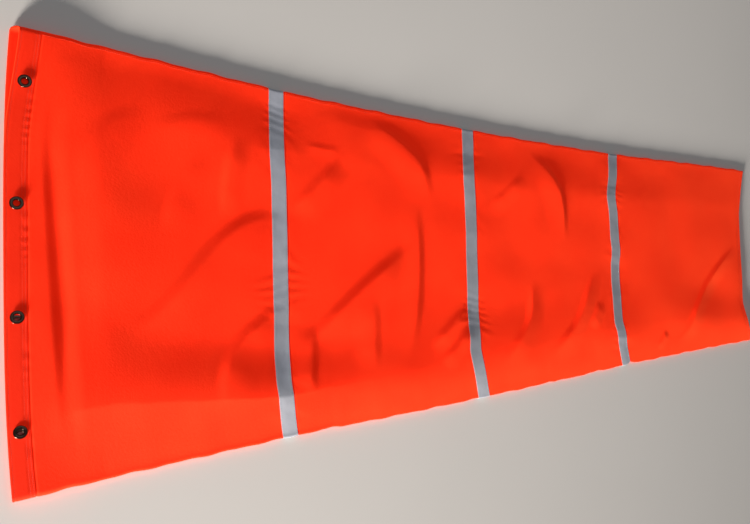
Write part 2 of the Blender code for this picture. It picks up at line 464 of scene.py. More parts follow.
@dataclass(frozen=True)
class SleeveCut:
    """The sizes that the sleeve is cut and sewn to."""

    seams: tuple[float, ...]
    diameters: tuple[float, ...] = (0.457, 0.402, 0.363, 0.328, 0.302)
    cloth: float = 0.0005
    hem_depth: float = 0.0306
    hem_stack: float = 0.0034
    hem_ply: float = 0.0008
    hem_rows: tuple[float, ...] = (0.0042, 0.0245, 0.0288)
    webbing_start: float = 0.0020
    webbing_width: float = 0.025
    webbing: float = 0.0012
    band_width: float = 0.028
    band_setback: float = 0.0005
    band: float = 0.0004
    gap: float = 0.0003
    tail_hem: float = 0.012
    tail_ply: float = 0.0014
    lap: float = 0.010
    lap_depth: float = 0.0009
    hem_lap_depth: float = 0.0010
    # A section ends this far short of the seam, under its band
    short: float = 0.0020

    @property
    def length(self) -> float:
        """From the mouth's edge to the tail's, along the middle."""
        return self.seams[-1]

    @property
    def tail_row(self) -> float:
        """Where the tail hem's row of stitches runs."""
        return self.length - 0.75 * self.tail_hem

    def flat_width(self, distance: Values) -> Values:
        """The width of the flattened tube, measured along the cloth."""
        return np.interp(distance, self.seams, np.pi * np.array(self.diameters) / 2)


@dataclass(frozen=True)
class Fold:
    """A soft fold in the upper layer: a ridge, or a valley, along a curved line.

    The path's corners are (distance from the mouth, place across). Left and right are the widths of its two
    sides, as seen when walking along the path with the upper side of the cloth under foot.
    """

    path: Table
    height: float
    left: float
    right: float
    crisp: float = 0.0
    curve_steps: int = 10
    tapered_share: float = 0.35

    def curve(self) -> Values:
        """Draws the path as a smooth line through its corners.

        Returns:
            The line's points as rows.
        """
        corners = np.array(self.path)
        marks = np.arange(len(corners))
        fine = np.linspace(0, marks[-1], self.curve_steps * marks[-1] + 1)
        degree = min(len(corners) - 1, 3)
        return np.stack([np.polyval(np.polyfit(marks, corners[:, k], degree), fine) for k in (0, 1)], -1)

    def rise(self, distance: Values, across: Values) -> Values:
        """How far the fold lifts each point of the cloth.

        Args:
            distance: the points' distances from the mouth.
            across: their places across the sleeve.

        Returns:
            An array of heights, in metres.
        """
        line = self.curve()
        reach = max(self.left, self.right)
        low, high = line.min(0) - reach, line.max(0) + reach
        near = (distance > low[0]) & (distance < high[0]) & (across > low[1]) & (across < high[1])
        lifted = np.zeros(np.shape(distance))
        if not near.any():
            return lifted
        points = np.stack([distance[near], across[near]], -1)[:, None, :]
        starts, steps = line[:-1], np.diff(line, axis=0)
        lengths = np.hypot(steps[:, 0], steps[:, 1])
        shares = np.clip(((points - starts) * steps).sum(-1) / lengths**2, 0, 1)
        offsets = points - (starts + shares[..., None] * steps)
        away = np.hypot(offsets[..., 0], offsets[..., 1])
        nearest = away.argmin(1)
        row = np.arange(len(nearest))
        turn = steps[nearest, 0] * offsets[row, nearest, 1] - steps[nearest, 1] * offsets[row, nearest, 0]
        side = np.where(turn > 0, self.left, self.right)
        share = np.clip(away[row, nearest] / side, 0, 1)
        profile = (1 - self.crisp) * (1 - ease(share)) + self.crisp * (1 - share) ** 2
        along = (np.cumsum(lengths) - lengths)[nearest] + shares[row, nearest] * lengths[nearest]
        total = lengths.sum()
        tapered = self.tapered_share * total
        lifted[near] = self.height * profile * (ease(along / tapered) * ease((total - along) / tapered))
        return lifted


@dataclass(frozen=True)
class Nudge:
    """A place where the cloth lies pulled along towards the tail, or back towards the mouth."""

    distance: float
    across: float
    shift: float
    reach_along: float
    reach_across: float

    def moved(self, distance: Values, across: Values) -> Values:
        """How far each point of the cloth is pulled.

        Args:
            distance: the points' distances from the mouth.
            across: their places across the sleeve.

        Returns:
            An array of shifts, in metres.
        """
        along = (distance - self.distance) / self.reach_along
        aside = (across - self.across) / self.reach_across
        return self.shift * np.exp(-along * along - aside * aside)


@dataclass(frozen=True)
class Lay:
    """How the flattened sleeve lies on the floor: a map from the cloth to the room."""

    cut: SleeveCut
    mouth_x: float
    folds: tuple[Fold, ...]
    nudges: tuple[Nudge, ...]
    # The frame's own lay at the sleeve's marks, which gives the outline seen from above
    frame_heights: tuple[float, ...] = (0.017, 0.017, 0.022, 0.022, 0.018)
    # The height of the lower layer's outside at the same marks
    underside: tuple[float, ...] = (0.0016, 0.0016, 0.0013, 0.0012, 0.0009)
    # Tables of (distance from the mouth, value): the radius at the two long edges, and the upper layer's height
    fold_radii: Table = ((0.0, 0.0085), (0.032, 0.0085), (0.13, 0.0042), (1.78, 0.0030))
    plateau: Table = (
        (0.0, 0.017),
        (0.032, 0.017),
        (0.13, 0.0200),
        (1.10, 0.0190),
        (1.74, 0.0140),
        (1.78, 0.0115),
    )
    # How far the mouth's corners, the two long edges and the upper layer lie along from the middle
    mouth_bow: float = 0.010
    lower_creep: float = 0.044
    lower_strip: float = 0.105
    upper_creep: float = 0.030
    upper_strip: float = 0.120
    creep_power: float = 1.3
    layer_slip: float = 0.013
    slip_width: float = 0.190
    slip_length: float = 0.300
    # The whole sleeve lies in a slight curve: how far its middle line is to the side, at even steps along it
    sway: tuple[float, ...] = (0.0, -0.0015, -0.0055, -0.0065, -0.0020, 0.0060, 0.0110)
    sway_start: float = 0.15
    # Small waves of the long edges: (height, wavelength, share of the edge's phase)
    edge_waves: tuple[tuple[float, float, int], ...] = ((0.0007, 0.083, 1), (0.0005, 0.047, 2))
    near_phase: float = 2.1
    far_phase: float = 0.4
    # Dents in the -Y edge: (distance, depth)
    near_dents: Table = ((0.515, 0.003), (1.03, 0.003), (1.18, 0.003), (1.285, 0.005))
    dent_reach: float = 0.012
    # Where the upper layer breaks from its plateau and slopes down to the -Y edge: (distance, slope's width)
    shoulder: Table = (
        (0.000, 0.050),
        (0.035, 0.060),
        (0.090, 0.112),
        (0.146, 0.113),
        (0.284, 0.092),
        (0.427, 0.072),
        (0.623, 0.076),
        (0.856, 0.084),
        (1.053, 0.086),
        (1.265, 0.092),
        (1.562, 0.077),
        (1.760, 0.060),
    )
    shoulder_round: float = 0.10
    # The shoulder is a crease near the mouth, and from here on it is worn soft
    worn_from: float = 0.40
    worn_over: float = 0.25
    worn_share: float = 0.85
    # The low ridge that the shoulder's slope ends in, and a swell of it: distance, reach and height
    ridge_height: float = 0.008
    ridge_fade: float = 0.8
    swell: tuple[float, float, float] = (0.34, 0.11, 0.003)
    sink_width: float = 1.2
    far_slope: float = 0.110
    far_sink: float = 0.0045
    ripple_seed: int = 7
    ripple_count: int = 16
    ripple_lengths: tuple[float, float] = (0.06, 0.24)
    ripple_steepness: float = 0.0012
    facet_seed: int = 3
    facet_count: int = 30
    facet_widths: tuple[float, float] = (0.018, 0.055)
    facet_height: float = 0.0015
    facet_reach: float = 0.040
    pucker_pitch: float = 0.042
    pucker_height: float = 0.0005
    hem_pucker_pitch: float = 0.019
    hem_pucker_height: float = 0.00035
    stitch_pull: float = 0.00035
    stitch_reach: float = 0.0013

    def at_marks(self, distance: Values, values: Sequence[float]) -> Values:
        """Reads values that are given at the mouth, the hem's end, the first and last seams and the tail."""
        cut = self.cut
        return np.interp(distance, (0.0, cut.hem_depth, cut.seams[1], cut.seams[-2], cut.length), values)

    def half_width(self, distance: Values) -> Values:
        """Half the sleeve's width as it lies."""
        height = self.at_marks(distance, self.frame_heights)
        return (self.cut.flat_width(distance) - np.pi * height / 2) / 2 + height / 2

    def edge_dents(self, distance: Values, side: int) -> Values:
        """How far a long edge lies inside its straight line.

        Args:
            distance: the points' distances from the mouth.
            side: 1 at the +Y edge and -1 at the -Y edge.

        Returns:
            An array of depths, in metres.
        """
        phase = self.far_phase if side > 0 else self.near_phase
        dents = np.zeros(np.shape(distance))
        for height, wavelength, turns in self.edge_waves:
            dents += height * np.sin(distance * 2 * np.pi / wavelength + turns * phase)
        for place, depth in self.near_dents if side < 0 else ():
            dents += depth * bell((distance - place) / self.dent_reach)
        return dents * ease(distance / 0.06)

    def drift(self, distance: Values, across: Values, on_upper: Values) -> Values:
        """How far a point lies towards the tail from where its distance alone would put it.

        Args:
            distance: the points' distances from the mouth.
            across: their places across the sleeve.
            on_upper: 0 on the lower layer and 1 on the upper.

        Returns:
            An array of shifts, in metres.
        """
        half_width = self.half_width(distance)
        share = np.minimum(np.abs(across) / half_width, 1.0)
        moved = self.mouth_bow * share**3 * np.maximum(1 - distance / self.cut.seams[1], 0)
        travelled = distance / self.cut.length
        lower = np.clip(1 - (half_width + across) / self.lower_strip, 0, 1)
        moved = moved + self.lower_creep * (1 - (1 - travelled) ** 2) * lower**self.creep_power
        upper = np.clip(1 - (half_width - across) / self.upper_strip, 0, 1)
        moved = moved + self.upper_creep * travelled**3 * upper**self.creep_power
        slip = ease(1 - (half_width - across) / self.slip_width) * ease(1 - distance / self.slip_length)
        moved = moved + self.layer_slip * ease(on_upper) * slip
        for nudge in self.nudges:
            moved = moved + nudge.moved(distance, across)
        return moved

    def relief(self, distance: Values, across: Values) -> Values:
        """The folds, ripples and creases of the upper layer.

        Args:
            distance: the points' distances from the mouth.
            across: their places across the sleeve.

        Returns:
            An array of heights above the layer's plain shape, in metres.
        """
        raised = np.zeros(np.shape(distance))
        for fold in self.folds:
            raised += fold.rise(distance, across)
        chance = np.random.RandomState(self.ripple_seed)
        for _ in range(self.ripple_count):
            wavelength = chance.uniform(*self.ripple_lengths)
            heading = chance.uniform(0, np.pi)
            phase = chance.uniform(0, 2 * np.pi)
            along = distance * np.cos(heading) + across * np.sin(heading)
            raised += self.ripple_steepness * wavelength * np.sin(2 * np.pi * along / wavelength + phase)
        raised += self.band_facets(distance, across) + self.seam_puckers(distance, across)
        raised = raised * ease((distance - self.cut.hem_depth - 0.002) / 0.03)
        # The hem's inner rows of stitches gather it into small puckers, of uneven size and spacing
        gathered = bell((distance - 0.030) / 0.006) * (1 + np.sin(across * 37)) / 2
        waves = np.sin(2 * np.pi * (across / self.hem_pucker_pitch + np.sin(across * 31)))
        return raised + self.hem_pucker_height * gathered * waves

    def band_facets(self, distance: Values, across: Values) -> Values:
        """The flat facets that the stiff bands break into, carried a little way into the cloth beside them.

        Args:
            distance: the points' distances from the mouth.
            across: their places across the sleeve.

        Returns:
            An array of heights, in metres.
        """
        chance = np.random.RandomState(self.facet_seed)
        raised = np.zeros(np.shape(distance))
        for seam in self.cut.seams[1:-1]:
            knots = -0.36 + np.cumsum(chance.uniform(*self.facet_widths, self.facet_count))
            heights = chance.uniform(-self.facet_height, self.facet_height, self.facet_count)
            away = (distance - (seam - self.cut.band_width / 2)) / self.facet_reach
            raised += np.interp(across, knots, heights) * bell(away)
        return raised

    def seam_puckers(self, distance: Values, across: Values) -> Values:
        """The short puckers that the bands' stitches gather in the cloth on both sides of each band.

        Args:
            distance: the points' distances from the mouth.
            across: their places across the sleeve.

        Returns:
            An array of heights, in metres.
        """
        raised = np.zeros(np.shape(distance))
        for number, seam in enumerate(self.cut.seams[1:-1], start=1):
            middle = seam - self.cut.band_width / 2
            beyond = np.maximum(np.abs(distance - middle) - self.cut.band_width / 2, 0)
            # Slow waves that never fall in step make the puckers' spacing, length and height uneven
            uneven = 1.1 * np.sin(across * 17 + number) + 0.6 * np.sin(across * 41 + 2 * number)
            count = across / self.pucker_pitch + uneven + 0.5 * np.sin(distance * 40 + across * 30)
            reach = 0.016 + 0.010 * np.sin(across * 29 + 3 * number)
            near = bell(beyond / reach) * (0.35 + 0.65 * ease(beyond / 0.006))
            patchy = 0.55 + 0.45 * np.sin(across * 23 + 2 * number)
            raised += self.pucker_height * near * patchy * np.sin(2 * np.pi * count)
        return raised

    def upper_outside(self, distance: Values, across: Values, run: Values) -> Values:
        """The height of the upper layer's outside.

        Args:
            distance: the points' distances from the mouth.
            across: their places across the sleeve.
            run: half the flat stretch between the two folds, at each distance.

        Returns:
            An array of heights above the floor, in metres.
        """
        thin = 2 * read_table(self.fold_radii, distance)
        near_edge = np.maximum(run + across, 0)
        far_edge = np.maximum(run - across, 0)
        slope = near_edge / read_table(self.shoulder, distance)
        rounded = self.shoulder_round
        steepest = math.sqrt(1 + rounded**2) - rounded
        climb = (np.sqrt(np.minimum(slope, 1) ** 2 + rounded**2) - rounded) / steepest
        soft = self.worn_share * ease((distance - self.worn_from) / self.worn_over)
        climb = (1 - soft) * climb + soft * np.sin(np.minimum(slope, 1) * np.pi / 2)
        ridge = self.ridge_height * ease((distance - 0.05) / 0.06) * np.exp(-self.ridge_fade * distance)
        swell_place, swell_reach, swell_height = self.swell
        ridge += swell_height * bell((distance - swell_place) / swell_reach)
        # Past the ridge the cloth sinks again to its plateau
        past = np.clip((slope - 1) / self.sink_width, 0, 1)
        crest = ridge * np.where(slope < 1, climb, 1 - ease(past))
        fall = ease(far_edge / self.far_slope)
        sunk = self.far_sink * np.clip((across + run) / (2 * run), 0, 1)
        height = thin + (read_table(self.plateau, distance) - sunk - thin) * climb * fall + crest * fall
        calm = ease(near_edge / 0.05) * ease(far_edge / 0.04)
        return self.at_marks(distance, self.underside) + height + self.relief(distance, across) * calm

    def tuck(self, distance: Values) -> Values:
        """How far rows of stitches pull the cloth in."""
        rows = (*self.cut.hem_rows, self.cut.tail_row)
        return self.stitch_pull * sum(bell((distance - row) / self.stitch_reach) for row in rows)

    def surface(self, distance: Values, loop: "LoopSamples") -> Values:
        """The places of the cloth's outside.

        Args:
            distance: an array of distances from the mouth.
            loop: where round the tube.

        Returns:
            An array of points, one row for each distance.
        """
        station = distance[:, None] + 0 * loop.run[None, :]
        radius = read_table(self.fold_radii, station)
        dents = np.where(loop.run > 0, self.edge_dents(station, 1), self.edge_dents(station, -1))
        run = self.half_width(station) - dents * np.abs(loop.run) - radius
        layer_place = run * loop.run
        low = self.at_marks(station, self.underside)
        high = self.upper_outside(station, layer_place, run)
        across = layer_place + radius * loop.side
        height = (high + low) / 2 + (high - low) / 2 * loop.up
        along = self.mouth_x + station + self.drift(station, across, (loop.up + 1) / 2)
        curve = np.polyfit(np.linspace(0, self.cut.length, len(self.sway)), self.sway, 4)
        swayed = across + np.polyval(curve, station) * ease(station / self.sway_start)
        return np.stack([along, swayed, height], -1)

    def sample(self, distance: Sequence[float], loop: "LoopSamples") -> tuple[Values, Values]:
        """Points of the cloth's outside and the way out from each.

        Args:
            distance: the distances from the mouth.
            loop: where round the tube.

        Returns:
            Two arrays of the same shape, points and unit normals.
        """
        distance = np.asarray(distance, float)
        step = 0.0005
        points = self.surface(distance, loop)
        along = self.surface(distance + step, loop) - self.surface(distance - step, loop)
        around = np.roll(points, -1, axis=1) - np.roll(points, 1, axis=1)
        outward = np.cross(around, along)
        outward /= np.linalg.norm(outward, axis=-1, keepdims=True)
        return points - self.tuck(distance)[:, None, None] * outward, outward


class LoopSamples:
    """Places round the flattened tube: along the upper layer, round the -Y fold, back below, round the +Y fold.

    run is the place on a layer as a share of the stretch between the folds, side how far out into a fold,
    and up is 1 on the upper layer and -1 on the lower.
    """

    def __init__(self, upper: int = 210, lower: int = 50, fold: int = 7) -> None:
        """Spreads the places, closer together towards the folds.

        Args:
            upper: the number of steps along the upper layer.
            lower: the number of steps along the lower layer.
            fold: the number of steps round each fold.
        """
        turns = np.linspace(0, np.pi, fold + 1)[1:-1]
        above, below = self.spread(upper), self.spread(lower)
        bend = np.ones(len(turns))
        self.run = np.concatenate([above, -bend, -below, bend])
        self.side = np.concatenate([0 * above, -np.sin(turns), 0 * below, np.sin(turns)])
        self.up = np.concatenate([0 * above + 1, np.cos(turns), 0 * below - 1, -np.cos(turns)])

    @staticmethod
    def spread(steps: int) -> Values:
        """Shares from 1 to -1, closer together at both ends."""
        even = np.linspace(1, -1, steps + 1)
        return 0.7 * even + 0.3 * np.sin(even * np.pi / 2)


# ---------------------------------------------------------------- the sleeve's pieces


@dataclass
class Sleeve:
    """What every piece of the sleeve is built with."""

    lay: Lay
    cut: SleeveCut
    joints: dict[str, float]
    bodies: tuple[str, ...] = ("mouth", "second", "third", "tail")
    spacing: float = 0.0035
    bend_start: float = 0.036
    bend_end: float = 0.120

    def ring(self, name: str, outline: Table, loop: LoopSamples, material: Material) -> Piece:
        """A closed ring of cloth round the sleeve.

        Args:
            name: the object's name.
            outline: the wall's section as corners (distance, depth under the outside).
            loop: where round the tube its points lie.
            material: its finish.

        Returns:
            The ring as an object.
        """
        distances, depths = np.array(outline).T
        points, outward = self.lay.sample(distances, loop)
        points = points - depths[:, None, None] * outward
        faces = ring_faces(*points.shape[:2])
        girth = np.cumsum(np.linalg.norm(points - np.roll(points, 1, axis=1), axis=-1), axis=1)
        # The cloth's own place: girth round the sleeve, and distance with the depth of a turned edge added
        place = np.stack([girth, (distances + depths)[:, None] + 0 * girth], -1).reshape(-1, 2)
        uvs = place[faces]
        wrapped = np.ptp(uvs[:, :, 0], axis=1) > 0.2
        uvs[wrapped] = np.where(uvs[wrapped] > 0.2, uvs[wrapped], uvs[wrapped] + [girth.max(), 0])
        return mesh_object(name, points.reshape(-1, 3), faces, material, uvs.reshape(-1, 2))

    def steps(self, start: float, end: float, extra: Iterable[float] = ()) -> list[float]:
        """Distances from start to end, evenly spaced, with others added.

        Args:
            start: the first distance.
            end: the last distance.
            extra: distances to add, where they lie between the two.

        Returns:
            The distances in order, without doubles.
        """
        count = max(2, math.ceil((end - start) / self.spacing))
        found = sorted({*np.linspace(start, end, count + 1), *(e for e in extra if start < e < end)})
        return [found[0]] + [b for a, b in zip(found, found[1:]) if b - a > 1e-5]

    def wall(self, start: float, end: float, thickness: float, lapped_until: float, lap_depth: float) -> Table:
        """The outline of a cloth wall whose start is tucked under its neighbour.

        Args:
            start: the distance from the mouth at which it starts.
            end: the distance at which it ends.
            thickness: the cloth's thickness.
            lapped_until: the distance at which its neighbour ends.
            lap_depth: how deep the tucked part lies.

        Returns:
            Its section as corners (distance, depth under the outside).
        """
        places = self.steps(start, end, (lapped_until + 0.0017 * k for k in range(4)))
        depths = [lap_depth * (1 - float(ease((place - lapped_until) / 0.005))) for place in places]
        back = [(place, depth + thickness) for place, depth in zip(places, depths)]
        return (*zip(places, depths), *reversed(back))

    def fasten(self, piece: Piece, number: int) -> None:
        """Attaches a piece of the first section to that section's body; for any later section it only bakes the
        piece's place into its points.

        Args:
            piece: the piece.
            number: the section's number, from 0.
        """
        body = self.bodies[number]
        if number == 0:
            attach(piece, body)
            return
        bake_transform(piece)


@dataclass
class EyeletPlace:
    """Where an eyelet sits: its name's ending, its hole's middle on the hem's outside, and which way is out."""

    ending: str
    middle: Vector
    outward: int


@dataclass
class Eyelets:
    """The eight two-part eyelets: a domed flange outside, a barrel, and its end rolled over a washer inside."""

    sleeve: Sleeve
    hole: float = 0.0048
    barrel: float = 0.0053
    flange: float = 0.0098
    dome: float = 0.0013
    rim: float = 0.0003
    roll: float = 0.0008
    roll_radius: float = 0.0006
    steps: int = 56
    cut_radius: float = 0.0056
    cut_depth: float = 0.0080
    cut_sides: int = 40
    places: list[EyeletPlace] = field(default_factory=list)

    def find(self) -> None:
        """Reads each eyelet's place from the frame's own boxes."""
        for ending in (f"{layer}_{number}" for layer in ("upper", "lower") for number in (1, 2, 3, 4)):
            low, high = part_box(f"eyelet_{ending}")
            outward = 1 if ending.startswith("upper") else -1
            face = high.z if outward > 0 else low.z
            proud = self.sleeve.cut.gap + self.dome
            middle = Vector(((low.x + high.x) / 2, (low.y + high.y) / 2, face - outward * proud))
            self.places.append(EyeletPlace(ending, middle, outward))

    def profile(self) -> Values:
        """The section of one eyelet.

        Returns:
            Its corners as rows (radius, height above the cloth).
        """
        gap = self.sleeve.cut.gap
        middle, half = (self.hole + self.flange) / 2, (self.flange - self.hole) / 2
        turns = np.linspace(math.pi, 0, 13)
        rise = self.dome - self.rim
        dome = [(middle + half * math.cos(t), gap + self.rim + rise * math.sin(t)) for t in turns]
        inner = -(self.sleeve.cut.hem_stack + 2 * gap + 0.0008)
        barrel = [(self.flange, gap), (self.barrel, gap), (self.barrel, inner)]
        centre = self.barrel + self.roll_radius
        turns = np.linspace(0, math.pi, 8)[:-1]
        roll = [(centre + self.roll_radius * math.cos(t), inner - self.roll * math.sin(t)) for t in turns]
        return np.array(dome + barrel + roll + [(self.hole, inner - self.roll / 3)])

    def build(self, metal: Material) -> list[Piece]:
        """Builds each eyelet in place of the frame's plain one, and dresses the washers.

        Args:
            metal: the eyelets' finish.

        Returns:
            The eight eyelets.
        """
        radius, rise = (side[:, None] for side in self.profile().T)
        turns = np.linspace(0, 2 * math.pi, self.steps, endpoint=False)
        made = []
        for place in self.places:
            middle, outward = place.middle, place.outward
            x, y = middle.x + radius * np.cos(turns), middle.y + radius * np.sin(turns) * outward
            points = np.stack([x, y, middle.z + rise * outward + 0 * turns], -1)
            faces = ring_faces(*points.shape[:2])
            eyelet = mesh_object(f"plated_eyelet_{place.ending}", points.reshape(-1, 3), faces, metal)
            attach(eyelet, self.sleeve.bodies[0])
            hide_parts(f"eyelet_{place.ending}")
            made.append(eyelet)
            washer = frame["nodes"][f"washer_{place.ending}"]
            washer.data.materials.clear()
            washer.data.materials.append(metal)
        return made

    def punch(self, pieces: Iterable[Piece]) -> None:
        """Cuts the eyelets' holes through the hem and its webbing.

        Args:
            pieces: the hem and the webbing.
        """
        maker = bmesh.new()
        shape = {"segments": self.cut_sides, "radius1": self.cut_radius, "radius2": self.cut_radius}
        for place in self.places:
            centre = place.middle - Vector((0, 0, place.outward * self.sleeve.cut.hem_stack / 2))
            move = Matrix.Translation(centre)
            bmesh.ops.create_cone(maker, cap_ends=True, depth=self.cut_depth, matrix=move, **shape)
        mesh = bpy.data.meshes.new("hole_cutter")
        maker.to_mesh(mesh)
        maker.free()
        cutter = bpy.data.objects.new("hole_cutter", mesh)
        bpy.context.scene.collection.objects.link(cutter)
        for piece in pieces:
            cut = piece.modifiers.new("holes", "BOOLEAN")
            cut.operation = "DIFFERENCE"
            cut.solver = "EXACT"
            cut.object = cutter
            evaluated = piece.evaluated_get(bpy.context.evaluated_depsgraph_get())
            holed = bpy.data.meshes.new_from_object(evaluated)
            piece.modifiers.clear()
            piece.data = holed
        bpy.data.objects.remove(cutter, do_unlink=True)


@dataclass
class Hem:
    """The mouth's hem: cloth folded double round webbing."""

    sleeve: Sleeve
    spacing: float = 0.0018
    nose: float = 0.0014

    def outline(self) -> Table:
        """The folded strip's section, with a rounded nose at the mouth's edge.

        Returns:
            Its corners as (distance, depth under the outside).
        """
        cut = self.sleeve.cut
        ply, stack = cut.hem_ply, cut.hem_stack
        places = np.linspace(self.nose, cut.hem_depth, math.ceil(cut.hem_depth / self.spacing) + 1)
        turns = np.linspace(-math.pi / 2, math.pi / 2, 8)[1:-1]
        nose = [(self.nose - self.nose * math.cos(t), stack / 2 - stack / 2 * math.sin(t)) for t in turns]
        outer = [(place, 0.0) for place in places]
        lining = [(place, ply) for place in reversed(places) if place > ply]
        floor = [(place, stack - ply) for place in places if place > ply]
        inner = [(place, stack) for place in reversed(places)]
        return (*outer, *lining, *floor, *inner, *nose)

    def build(
        self, eyelets: Eyelets, cloth: Material, webbing: Material
    ) -> tuple[Piece, Piece]:
        """Builds the hem and the webbing inside it, with holes for the eyelets.

        Args:
            eyelets: the eyelets that need holes.
            cloth: the hem's finish.
            webbing: the webbing's finish.

        Returns:
            The hem and the webbing.
        """
        cut = self.sleeve.cut
        loop = LoopSamples(upper=280, lower=280, fold=9)
        hem = self.sleeve.ring("hem_cloth", self.outline(), loop, cloth)
        depth = cut.hem_ply + cut.gap
        count = math.ceil(cut.webbing_width / self.spacing)
        places = np.linspace(cut.webbing_start, cut.webbing_start + cut.webbing_width, count + 1)
        outline = [(place, depth) for place in places]
        outline += [(place, depth + cut.webbing) for place in reversed(places)]
        strap = self.sleeve.ring("webbing_in_hem", outline, loop, webbing)
        eyelets.punch((hem, strap))
        for piece, node, slot in ((hem, "mouth_hem", Slot.CLOTH), (strap, "hem_webbing", Slot.WEBBING)):
            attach(piece, self.sleeve.bodies[0])
            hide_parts(node)
        return hem, strap


@dataclass
class Sections:
    """The four tapering sections of cloth."""

    sleeve: Sleeve
    nodes: tuple[str, ...] = ("mouth_section", "second_section", "third_section", "tail_section")

    def outline(self, number: int) -> Table:
        """One section's wall. Its start is tucked under the hem, or under the band before it.

        Args:
            number: the section's number, from 0.

        Returns:
            Its corners as (distance, depth under the outside).
        """
        cut, sleeve = self.sleeve.cut, self.sleeve
        end = cut.seams[number + 1]
        if number == 0:
            tucked = cut.webbing_start + cut.webbing_width + 0.0008
            return sleeve.wall(tucked, end - cut.short, cut.cloth, cut.hem_depth, cut.hem_lap_depth)
        start = cut.seams[number] - cut.lap
        covered = cut.seams[number] - cut.band_setback
        if number < 3:
            return sleeve.wall(start, end - cut.short, cut.cloth, covered, cut.lap_depth)
        hem_start = end - cut.tail_hem
        plain = sleeve.wall(start, hem_start, cut.cloth, covered, cut.lap_depth)
        half = len(plain) // 2
        doubled = sleeve.steps(hem_start, end - 0.0006, (end - 0.004, end - 0.002))[1:]
        out = [(place, 0.0) for place in doubled] + [(end, 0.0006)]
        back = [(place, cut.tail_ply) for place in reversed(doubled)] + [(hem_start + 0.0004, cut.tail_ply)]
        return (*plain[:half], *out, *back, *plain[half:])

    def build(self, cloth: Material) -> list[Piece]:
        """Builds the four sections; the first is attached to its body, the others only have their places baked
        in.

        Args:
            cloth: their finish.

        Returns:
            The sections, from the mouth.
        """
        made = []
        for number, node in enumerate(self.nodes):
            loop = LoopSamples(upper=230 - 20 * number)
            piece = self.sleeve.ring(f"cloth_{node}", self.outline(number), loop, cloth)
            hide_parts(node)
            self.sleeve.fasten(piece, number)
            made.append(piece)
        return made


@dataclass
class Bands:
    """The three reflective bands over the seams."""

    sleeve: Sleeve

    def build(self, tape: Material) -> list[Piece]:
        """Builds each band just outside the cloth that it is sewn to.

        Args:
            tape: their finish.

        Returns:
            The bands, from the mouth.
        """
        cut = self.sleeve.cut
        lift = cut.gap / 2
        made = []
        for number, body in enumerate(self.sleeve.bodies[:3], start=1):
            end = cut.seams[number] - cut.band_setback
            places = self.sleeve.steps(end - cut.band_width, end)
            outline = [(place, -lift - cut.band) for place in places]
            outline += [(place, -lift) for place in reversed(places)]
            band = self.sleeve.ring(f"tape_{number}", outline, LoopSamples(upper=230 - 20 * number), tape)
            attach(band, body)
            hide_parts(f"reflective_band_{number}")
            made.append(band)
        return made


